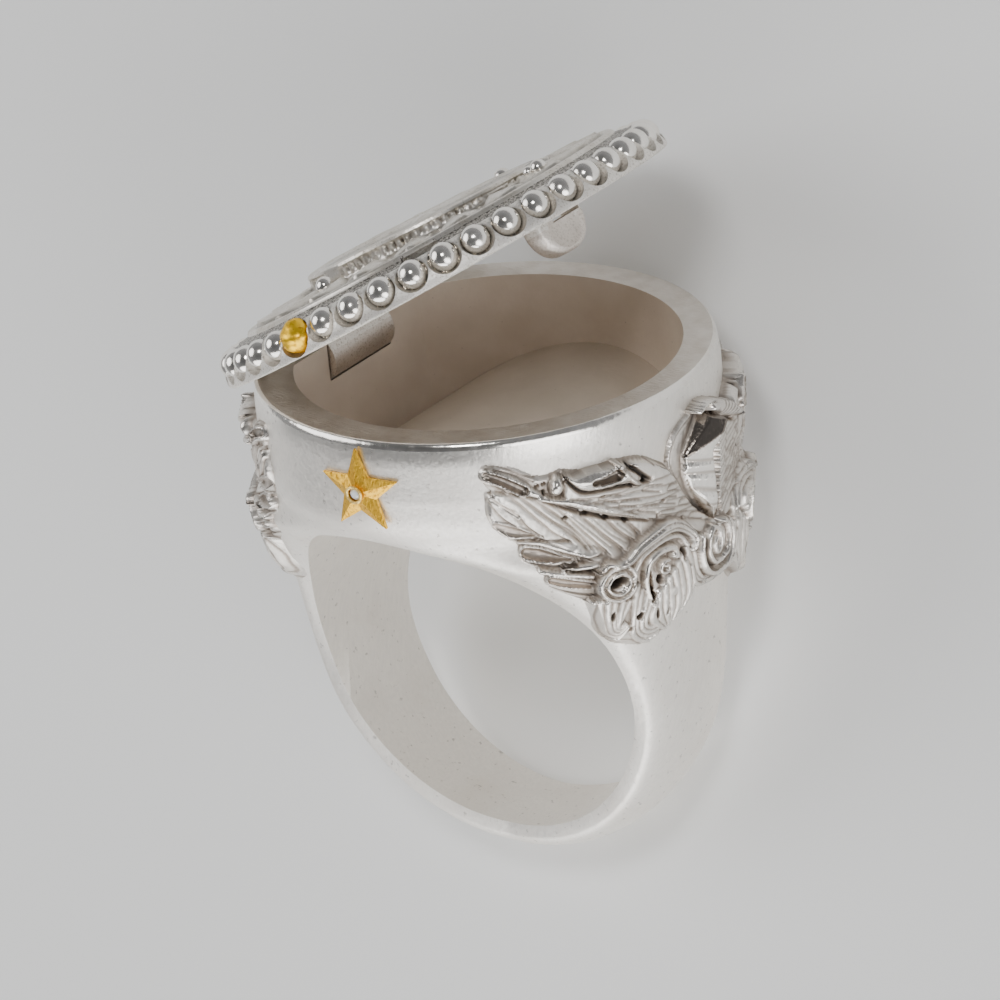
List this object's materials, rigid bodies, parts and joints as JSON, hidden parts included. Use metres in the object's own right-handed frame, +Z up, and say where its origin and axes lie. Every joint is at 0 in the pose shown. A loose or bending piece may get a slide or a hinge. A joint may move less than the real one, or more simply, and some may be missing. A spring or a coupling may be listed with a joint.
{
  "type": "locket ring",
  "caption": "Silver locket ring lying on its back: a round cup with winged shoulders and a gold star, under a hinged lid rimmed with beads.",
  "frame": {"origin": "middle of the base of the bounding box, on the floor that the ring lies on", "axes": "+Z up; +Y from the shank to the cup and lid, the ring's longest direction; +X across the shoulders, from the hinge to the catch. The ring lies on its back as it rests, star side up, tipped 23.1 degrees towards the shank"},
  "size_m": [0.0248, 0.0356, 0.0248],
  "materials": {
    "silver": "silver, satin and tumbled, darker in the hollows of the relief, polished on the rim's bevel",
    "lid_silver": "silver, polished beads round a satin disc",
    "pin_silver": "drawn silver wire",
    "gold": "yellow gold, polished",
    "diamond": "clear, brilliant cut"
  },
  "bodies": {
    "ring": {"ring_body": "silver", "star": "gold", "diamond": "diamond", "hinge_pin": "pin_silver"},
    "lid": {"lid": "lid_silver", "gold_bead": "gold"}
  },
  "joints": [
    {"name": "lid_hinge", "type": "hinge", "parent": "ring", "child": "lid", "pos_m": [-0.00835, 0.00515, 0.01142], "axis": [0, -0.3923, 0.9198], "range_deg": [-29.5, 0]}
  ]
}
